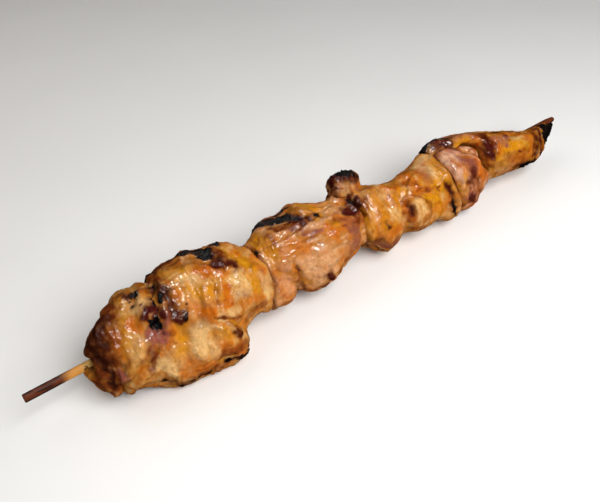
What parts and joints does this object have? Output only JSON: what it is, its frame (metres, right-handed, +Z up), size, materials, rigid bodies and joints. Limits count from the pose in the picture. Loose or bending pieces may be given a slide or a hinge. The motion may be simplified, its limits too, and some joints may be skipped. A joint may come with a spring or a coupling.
{
  "type": "grilled chicken kebab skewer",
  "caption": "Grilled chicken kebab: folded pieces of marinated thigh, browned and charred at the edges, threaded close together on a round pointed bamboo skewer and lying flat.",
  "frame": {"origin": "under the middle of the kebab's bounding box, on the surface it lies on", "axes": "+X along the skewer towards its pointed end, -Y towards the side that shows its folds, +Z up"},
  "size_m": [0.25, 0.0406, 0.0348],
  "materials": {
    "bamboo": "split bamboo, fine straight grain, browned by the fire at both bare ends",
    "golden_chicken": "grilled chicken, golden and amber under an oily marinade, with black char on its high edges",
    "browned_chicken": "grilled chicken, browned, with pinkish and dark patches under an oily marinade"
  },
  "bodies": {
    "root": {"bamboo_skewer": "bamboo", "chicken_1_cap_fold": "browned_chicken", "chicken_2_thigh_slab": "golden_chicken", "chicken_3_long_fold": "golden_chicken", "chicken_4_rolled_strip": "golden_chicken", "chicken_5_pleated_fold": "browned_chicken", "chicken_6_tapered_end": "golden_chicken"}
  },
  "joints": []
}
